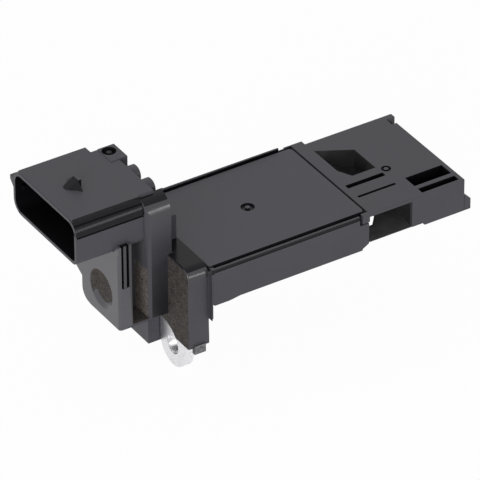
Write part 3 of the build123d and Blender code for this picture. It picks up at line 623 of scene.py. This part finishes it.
def carve(piece, blocks):
    """Cuts blocks, given by their corners, out of a piece, and welds what the cuts leave."""
    cutters = [add_object("cutter", plain_block(low, high)) for low, high in blocks]
    for cutter in cutters:
        cut = piece.modifiers.new("carve", "BOOLEAN")
        cut.operation = "DIFFERENCE"
        cut.solver = "EXACT"
        cut.object = cutter
    bake(piece)
    welded = bmesh.new()
    welded.from_mesh(piece.data)
    bmesh.ops.remove_doubles(welded, verts=welded.verts, dist=CARVED_GAP)
    bmesh.ops.dissolve_degenerate(welded, edges=welded.edges, dist=CARVED_SLIVER)
    welded.to_mesh(piece.data)
    welded.free()
    for cutter in cutters:
        mesh = cutter.data
        bpy.data.objects.remove(cutter)
        bpy.data.meshes.remove(mesh)


carve(housing_piece, HOUSING_CUTS.values())
print("housing faces after", len(HOUSING_CUTS), "cuts", len(housing_piece.data.polygons))

# %% [markdown]
# ## Split two faces
# On the flange and on the panel beside the post, the eroded texture ends half way across a flat face.
# A face can have only one skin, so these two are split first, along the border of the texture.

# %% Split the flange and the panel
ALIKE = 0.9
SPLIT_SNAP = 0.001 * MM
FLANGE_FACE_X, FLANGE_BORDER_Y = -5.1, 1.95
PANEL_X, PANEL_BORDER_Y, PANEL_BORDER_Z = -9.8, -0.6, 2.25


def near(value, target, slack=0.12):
    """Whether a value lies within a small slack of a target."""
    return abs(value - target) < slack


def outer_flange(centre, normal):
    """The flange's face that points away from the case."""
    return normal.x < -ALIKE and near(centre.x, FLANGE_FACE_X)


def post_panel(centre, normal):
    """The flat panel beside the post, behind the boss."""
    return normal.x < -ALIKE and near(centre.x, PANEL_X)


def split_faces(piece, chosen, place, direction):
    """Splits the faces that a test chooses along a plane through a place in millimetres."""
    shape = bmesh.new()
    shape.from_mesh(piece.data)
    faces = [face for face in shape.faces if chosen(face.calc_center_median() / MM, face.normal)]
    edges = list({edge for face in faces for edge in face.edges})
    verts = list({vert for face in faces for vert in face.verts})
    bmesh.ops.bisect_plane(
        shape, geom=verts + edges + faces, dist=SPLIT_SNAP, plane_co=Vector(place) * MM, plane_no=direction
    )
    shape.to_mesh(piece.data)
    shape.free()


split_faces(housing_piece, outer_flange, (0.0, FLANGE_BORDER_Y, 0.0), (0.0, 1.0, 0.0))
split_faces(housing_piece, post_panel, (0.0, 0.0, PANEL_BORDER_Z), (0.0, 0.0, 1.0))
split_faces(housing_piece, post_panel, (0.0, PANEL_BORDER_Y, 0.0), (0.0, 1.0, 0.0))
print("housing faces after the splits", len(housing_piece.data.polygons))

# %% [markdown]
# ## Skin by skin
# Each face of the housing gets its skin from where it lies and which way it faces. The rules are read
# from the top, and the first one that fits a face decides. All places are in millimetres.

# %% Give the housing its skins
FOOT_TOP_Z = -10.0
DIMPLE_Y, DIMPLE_Z, DIMPLE_RADIUS = 1.1, -3.9, 4.58
PAD_MARK_X, PAD_MARK_Y, PAD_MARK_RADIUS = -6.42, 14.89, 1.64
WEDGE_MIDDLE_Y = 7.6
PASSAGE_FLOOR_Z = -2.6


def boss_skin(x, y, z, normal):
    """The skins of the boss's dimple, of its grooves and of the side between them."""
    # The dimple is eroded on its floor and on the lower half of its cone.
    in_dimple = -17.12 < x < -16.3 and hypot(y - DIMPLE_Y, z - DIMPLE_Z) < DIMPLE_RADIUS
    if in_dimple and (x > -16.4 or y - DIMPLE_Y + z - DIMPLE_Z > 0.8):
        return "eroded_brown"
    # Inside the two grooves the near-black polished skin is painted shade, and then the side of the boss
    # between them is glossy.
    if -16.6 < x < -14.4 and -6.35 < y < -5.3 and -0.2 < z < 10.8:
        return "polished_black"
    if -16.0 < x < -13.6 and y < -6.0 and z > -0.2 and normal.y < -ALIKE:
        return "gloss_black"
    return None


def connector_skin(x, y, z, normal):
    """The skins of the connector's socket, its glossy upper edge, its wedge and its marks."""
    # The round mark on the pad is polished, with its near-black colour painted shade in the recess, and
    # the faces of the lobes that look towards the case are eroded.
    if hypot(x - PAD_MARK_X, y - PAD_MARK_Y) < PAD_MARK_RADIUS and 18.9 < z < 20.0:
        return "polished_black"
    if -5.0 < x < -4.0 and -0.7 < y < 9.6 and z > 12.0 and normal.x > 0.7:
        return "eroded_brown"
    # The inside of the socket and the narrow step along the shell's side take a near-black skin that is
    # painted shade.
    if -26.6 < x < -12.0 and -4.4 < y < 20.4 and 9.6 < z < 18.7:
        return "deep_black"
    if x < -9.7 and near(y, -4.85) and 15.6 < z < 16.25:
        return "deep_black"
    # The shell's upper edge, the locking wedge on its top and the front of the step are polished, and
    # their near-black colour is painted shade for the dark reflections on them.
    if x < -9.7 and y < -1.9 and 16.1 < z < 19.85 and normal.x > -0.5 and normal.z < 0.985:
        return "polished_black"
    if -21.9 < x < -18.0 and near(y, WEDGE_MIDDLE_Y, 3.3) and z > 19.95 and normal.z < 0.95:
        return "polished_black"
    if x < -9.7 and y < -6.0 and z > 14.0 and near(normal.y, -1.0, 0.1):
        return "polished_black"
    return None


def post_skin(x, y, z, normal):
    """The skins of the post's top and of its front."""
    # The round at the top of the post is glossy, the top itself is polished with its near-black colour
    # painted as shade, and the front is painted darker towards the bottom as painted shade.
    if PANEL_X - 0.05 < x < -3.4 and -6.65 < y < -2.0:
        if 15.3 < z < 18.2 and 0.05 < normal.z < 0.9:
            return "gloss_black"
        if z > 17.7 and normal.z > 0.2:
            return "polished_black"
    if PANEL_X < x < -3.4 and near(y, -6.6) and normal.y < -ALIKE:
        return "post_black"
    return None


def flange_or_case_skin(x, y, z, normal):
    """The skins of the flange's top and foot, of the joints round the lid and of the air passage."""
    # The top of the foot below the panel is eroded. The flange's upper slopes are polished, with their
    # near-black colour painted as dark reflection, and glossy where they round over.
    if near(z, FOOT_TOP_Z, 0.2) and -13.8 < x < -9.7 and normal.z > ALIKE:
        return "eroded_brown"
    if -5.2 < x < 0.1 and y < -2.0 and z > 2.2 and normal.z > 0.02:
        return "polished_black" if normal.z > 0.75 else "gloss_black"
    # The faces in the joints round the lid take painted shade, and the groove below the rim takes the
    # polished skin, whose near-black colour is painted shade there.
    if 0.2 < x < 40.0 and 2.5 < z < 4.3 and (y < -14.2 or y > 13.9):
        if abs(y) < 15.9:
            return "deep_black"
        if z > 3.38:
            return "polished_black"
    # The cut-off stub at the foot of the flange.
    if -4.2 < x < -1.0 and y < -15.2 and z < -14.0 and normal.y < -ALIKE:
        return "cut_grey"
    # The air passage: its floor, then its walls.
    if 40.0 < x < 55.0 and near(z, PASSAGE_FLOOR_Z) and normal.z > ALIKE:
        return "passage_floor"
    if x > 40.3 and -16.4 < y < 13.0 and -2.7 < z < 3.75:
        return "passage_black"
    return None


def housing_skin(centre, normal):
    """Chooses the skin of one face of the housing.

    What no rule names is satin, and the rest of the boss takes a brighter copy of the satin, which is
    painted light.
    """
    x, y, z = centre
    if outer_flange(centre, normal) and y < FLANGE_BORDER_Y + 0.05 and z < 4.6:
        return "eroded_brown"
    # The panel beside the post takes brighter copies of the eroded and satin skins, which are painted
    # light.
    if post_panel(centre, normal) and y < PANEL_BORDER_Y + 0.1:
        return "eroded_pale" if z < PANEL_BORDER_Z else "satin_pale"
    for rules in (flange_or_case_skin, boss_skin, connector_skin, post_skin):
        skin = rules(x, y, z, normal)
        if skin:
            return skin
    # The rest of the boss: a brighter satin, painted light.
    if -17.2 < x < -13.6 and -6.5 < y < 12.5 and -10.7 < z < 10.8 and normal.x < 0.5:
        return "satin_bright"
    return "satin_black"


def dress(piece, palette, choose):
    """Gives a piece its finishes, and each face the one that a function names."""
    piece.data.materials.clear()
    for finish in palette.values():
        piece.data.materials.append(finish)
    numbers = {name: number for number, name in enumerate(palette)}
    for polygon in piece.data.polygons:
        polygon.material_index = numbers[choose(polygon.center / MM, polygon.normal)]


dress(housing_piece, skins, housing_skin)
print("skins on the housing", len({polygon.material_index for polygon in housing_piece.data.polygons}))

# %% [markdown]
# ## Light on a rounded edge
# A flat face should look flat right up to its edge, and the narrow round beside it should turn the
# light smoothly. Blender's own smooth shading would bend the light across the long thin triangles.
# So each corner's normal is worked out here: every flat region that meets there counts by the square
# of its area, and the biggest region wins.

# %% Set the normals
FLAT_ANGLE = radians(0.4)
SMOOTH_ANGLE = radians(40.0)
OPEN_EDGE_ANGLE = 9.0


def flat_regions(shape):
    """Numbers the flat regions of a bmesh: each face's region, and the area of each region."""
    region, areas = {}, []
    for face in shape.faces:
        if face in region:
            continue
        number = len(areas)
        areas.append(0.0)
        region[face] = number
        waiting = [face]
        while waiting:
            here = waiting.pop()
            areas[number] += here.calc_area() / MM**2
            for edge in here.edges:
                if edge.is_manifold and edge.calc_face_angle(OPEN_EDGE_ANGLE) < FLAT_ANGLE:
                    for other in edge.link_faces:
                        if other not in region:
                            region[other] = number
                            waiting.append(other)
    return region, areas


def shade(piece):
    """Sets the normals, so that flat regions look flat and the rounds between them look smooth."""
    shape = bmesh.new()
    shape.from_mesh(piece.data)
    region, areas = flat_regions(shape)
    normals = []
    for face in shape.faces:
        for loop in face.loops:
            total = Vector()
            for other in loop.vert.link_faces:
                if other.normal.dot(face.normal) > cos(SMOOTH_ANGLE):
                    total += other.normal * areas[region[other]] ** 2
            normals.append(total.normalized())
    shape.free()
    piece.data.normals_split_custom_set(normals)


# %% [markdown]
# ## Edges that catch the light
# A moulded edge is never sharp. The boss and the front of the flange are rounded most, and the other
# outer edges less. A rounding never takes more than a share of the shortest edge beside it, because
# a wider one would fold over itself. What it still throws off the old surface is put back on it.

# %% Round the housing
SHARP_ANGLE = radians(30.0)
USUAL_SHARE = 0.4
NEIGHBOUR_SHARE = 0.35
LEAST_ROUNDING = 0.04
STRAY_OUTWARDS, STRAY_ANYWHERE = 0.05 * MM, 0.3 * MM
ROUNDED_GAP, ROUNDED_SLIVER = 0.001 * MM, 0.0005 * MM


def soften(piece, widest, share_at=lambda centre: USUAL_SHARE):
    """Rounds every sharp edge by a share of the widest rounding in millimetres.

    The function share_at gives the share from the middle of an edge. An inner corner gets half of it.
    """
    shape = bmesh.new()
    shape.from_mesh(piece.data)
    weight = shape.edges.layers.float.new("bevel_weight_edge")
    for edge in shape.edges:
        if edge.is_manifold and edge.calc_face_angle(0.0) > SHARP_ANGLE:
            share = share_at((edge.verts[0].co + edge.verts[1].co) / 2 / MM)
            beside = [other for vert in edge.verts for other in vert.link_edges if other is not edge]
            room = NEIGHBOUR_SHARE * min(other.calc_length() for other in beside) / MM
            if room > LEAST_ROUNDING:
                edge[weight] = min(share if edge.is_convex else share / 2, room / widest)
    for face in shape.faces:
        face.smooth = True
    before = BVHTree.FromBMesh(shape)
    shape.to_mesh(piece.data)
    shape.free()
    rounding = piece.modifiers.new("rounding", "BEVEL")
    rounding.width = widest * MM
    rounding.segments = 2
    rounding.limit_method = "WEIGHT"
    rounding.use_clamp_overlap = False
    rounding.loop_slide = False
    bake(piece)
    rounded = bmesh.new()
    rounded.from_mesh(piece.data)
    for vert in rounded.verts:
        place, normal, _, _ = before.find_nearest(vert.co)
        stray = vert.co - place
        if stray.dot(normal) > STRAY_OUTWARDS or stray.length > STRAY_ANYWHERE:
            vert.co = place
    bmesh.ops.remove_doubles(rounded, verts=rounded.verts, dist=ROUNDED_GAP)
    bmesh.ops.dissolve_degenerate(rounded, edges=rounded.edges, dist=ROUNDED_SLIVER)
    bmesh.ops.triangulate(rounded, faces=[face for face in rounded.faces if len(face.verts) > 4])
    rounded.to_mesh(piece.data)
    rounded.free()
    shade(piece)


def housing_share(centre):
    """How far the housing's outer edges are rounded: the boss most, then the front of the flange."""
    if -17.4 < centre.x < -13.4 and centre.y < 9.5 and centre.z < 8.6:
        return 1.0
    if -5.3 < centre.x < 0.1 and centre.y < -14.0 and centre.z > -15.0:
        return 0.7
    return USUAL_SHARE


soften(housing_piece, widest=0.35, share_at=housing_share)
print("housing faces after rounding", len(housing_piece.data.polygons))

# %% [markdown]
# ## The heel of the case
# Beside the flange, the underside of the case carries a thin pad that ends in a slope. It starts as a
# plain block. The far end of its lower face is pulled back to make the slope, and then the edges are
# rounded.

# %% Heel of the case
HEEL_LOW, HEEL_HIGH = (0.8, -16.05, -5.12), (9.0, 15.35, -4.52)
HEEL_SLOPE = 4.4


def round_block(block, rounding):
    """Rounds all edges of a block by a width in millimetres."""
    bmesh.ops.bevel(
        block, geom=block.edges, affect="EDGES", offset=rounding * MM, segments=2, profile=0.5, material=-1
    )


heel = plain_block(HEEL_LOW, HEEL_HIGH)
heel_middle = (Vector(HEEL_LOW) + Vector(HEEL_HIGH)) / 2 * MM
lower_end = [vert for vert in heel.verts if vert.co.x > heel_middle.x and vert.co.z < heel_middle.z]
bmesh.ops.translate(heel, verts=lower_end, vec=Vector((-HEEL_SLOPE, 0.0, 0.0)) * MM)
round_block(heel, 0.08)
heel_pad = add_object("case_heel_pad", heel)
heel_pad.data.materials.append(skins["satin_black"])
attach(heel_pad, "root")
print("heel pad", [round(side / MM, 2) for side in heel_pad.dimensions])

# %% [markdown]
# ## The rear rail
# The rim behind the lid stands a little higher than the solids' rim, over a joint in shade. The rail's
# front face is cut along the joint, so that the lower part of it can take a near-black painted shade.

# %% Rear rail
RAIL_LOW, RAIL_HIGH = (0.85, 15.06, 4.15), (36.85, 15.48, 5.15)
RAIL_JOINT_Z = 4.72
RAIL_JOINT_TILT = 0.012

rail = plain_block(RAIL_LOW, RAIL_HIGH)
round_block(rail, 0.07)
bmesh.ops.bisect_plane(
    rail,
    geom=rail.verts[:] + rail.edges[:] + rail.faces[:],
    dist=SPLIT_SNAP,
    plane_co=Vector((0.0, 0.0, RAIL_JOINT_Z)) * MM,
    plane_no=(RAIL_JOINT_TILT, 0.0, -1.0),
)
rear_rail = add_object("rear_rail", rail)
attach(rear_rail, "root")


def rail_skin(centre, normal):
    """The lower part of the rail's front face, in the joint, takes a near-black skin that is painted
    shade.
    """
    return "deep_black" if centre.z < 4.85 and normal.y < -0.7 else "satin_black"


dress(rear_rail, {name: skins[name] for name in ("satin_black", "deep_black")}, rail_skin)
print("rear rail", [round(side / MM, 2) for side in rear_rail.dimensions])

# %% [markdown]
# ## The passage cover
# The plate over the tip has two pockets, two slots and a round mark, whose insides take a near-black
# skin that is painted shade. The funnel recess is smooth and shiny. The rims of the narrow slots stay
# sharp, because a rounding there would be as wide as the slot.

# %% Passage cover
COVER_MARK_X, COVER_MARK_Y, COVER_MARK_RADIUS = 52.74, -3.64, 1.14
passage_piece = welded_copy("moulded_passage_cover", "passage_cover")


def passage_skin(centre, normal):
    """Chooses the skin of one face of the passage cover."""
    x, y, z = centre
    in_pocket = 54.0 < x < 64.0 and -15.8 < y < -8.9 and -2.0 < z < 4.6
    in_slot = 41.4 < x < 51.4 and -10.2 < y < -4.4 and 3.6 < z < 4.6
    in_mark = hypot(x - COVER_MARK_X, y - COVER_MARK_Y) < COVER_MARK_RADIUS and z < 4.62
    # The insides of the pockets, the slots and the mark are painted shade.
    if in_pocket or in_slot or in_mark:
        return "deep_black"
    in_funnel = 43.0 < x < 51.2 and -2.2 < y < 11.0 and -1.0 < z < 4.6
    return "passage_black" if in_funnel else "satin_black"


def passage_share(centre):
    """The rims of the narrow slots stay as they are; the other outer edges are rounded."""
    return 0.0 if 41.0 < centre.x < 52.0 and -10.5 < centre.y < -4.2 else USUAL_SHARE


dress(passage_piece, skins, passage_skin)
soften(passage_piece, widest=0.3, share_at=passage_share)
print("passage cover faces", len(passage_piece.data.polygons))

# %% [markdown]
# ## The lid
# The lid is one flat plate with a round gate mark. Its two long edges are cut back a little, so that
# the dark joint round it is as wide as in the photograph.

# %% Lid
LID_CUTS = {
    "front edge": ((-1.0, -16.0, 3.0), (41.0, -14.85, 5.0)),
    "rear edge": ((-1.0, 14.4, 3.0), (41.0, 16.0, 5.0)),
}
GATE_MARK_X, GATE_MARK_RADIUS = 19.3, 1.61
lid_piece = welded_copy("moulded_lid", "circuit_cover")
carve(lid_piece, LID_CUTS.values())


def lid_skin(centre, normal):
    """Chooses the skin of one face of the lid: the gate mark and the edges in the joint take the polished
    skin, whose near-black colour is painted shade.
    """
    in_mark = hypot(centre.x - GATE_MARK_X, centre.y) < GATE_MARK_RADIUS and centre.z < 4.6
    in_joint = centre.z < 4.4 and abs(normal.z) < 0.5
    return "polished_black" if in_mark or in_joint else "lid_black"


dress(lid_piece, {"lid_black": lid_black, "polished_black": skins["polished_black"]}, lid_skin)
soften(lid_piece, widest=0.25)
print("lid faces", len(lid_piece.data.polygons))

# %% [markdown]
# ## Finish
# The picture keeps its colours as they are written, so the view transform is Standard.

# %% Set the view transform
bpy.context.scene.view_settings.view_transform = "Standard"
